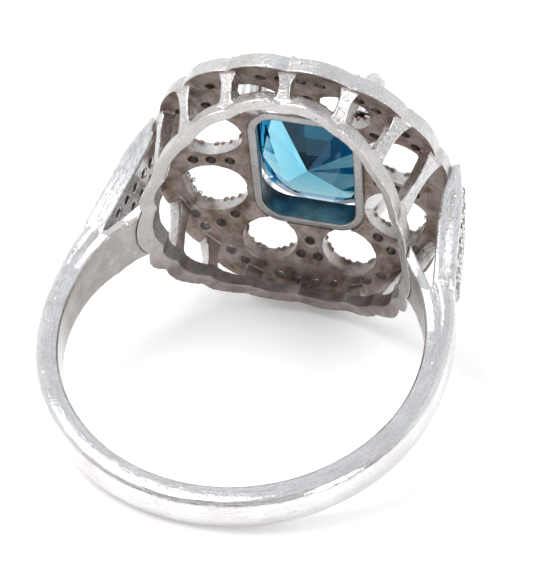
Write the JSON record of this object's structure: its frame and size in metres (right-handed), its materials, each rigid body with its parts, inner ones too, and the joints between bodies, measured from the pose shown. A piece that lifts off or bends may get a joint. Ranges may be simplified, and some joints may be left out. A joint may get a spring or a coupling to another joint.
{
  "type": "cocktail ring",
  "caption": "Cocktail ring: open halo head with a blue cushion stone in claws, pierced gallery of posts on a scalloped rail, and forked stone-set shoulders on a plain band.",
  "frame": {"origin": "centre of the finger hole", "axes": "+Y along the finger, +Z from the finger hole up to the stone, X across the band from shoulder to shoulder"},
  "size_m": [0.02, 0.0172, 0.0251],
  "materials": {
    "polished_silver": "rhodium-plated cast silver, polished, with fine wear and small casting pits",
    "blue_stone": "transparent London-blue faceted stone, polished",
    "clear_stone": "clear faceted stone, polished"
  },
  "bodies": {
    "root": {"border_stones_back": "clear_stone", "border_stones_front": "clear_stone", "border_stones_left": "clear_stone", "border_stones_right": "clear_stone", "centre_claws": "polished_silver", "centre_collet": "polished_silver", "centre_stone": "blue_stone", "corner_rib_stones": "clear_stone", "end_rib_stones": "clear_stone", "gallery_posts_back": "polished_silver", "gallery_posts_front": "polished_silver", "gallery_rail": "polished_silver", "halo_border": "polished_silver", "inner_beads": "polished_silver", "left_shoulder": "polished_silver", "left_shoulder_beads": "polished_silver", "left_shoulder_stones": "clear_stone", "left_under_arm": "polished_silver", "outer_beads": "polished_silver", "petal_lattice": "polished_silver", "rib_beads": "polished_silver", "right_shoulder": "polished_silver", "right_shoulder_beads": "polished_silver", "right_shoulder_stones": "clear_stone", "right_under_arm": "polished_silver", "shank": "polished_silver", "side_rib_stones": "clear_stone"}
  },
  "joints": []
}
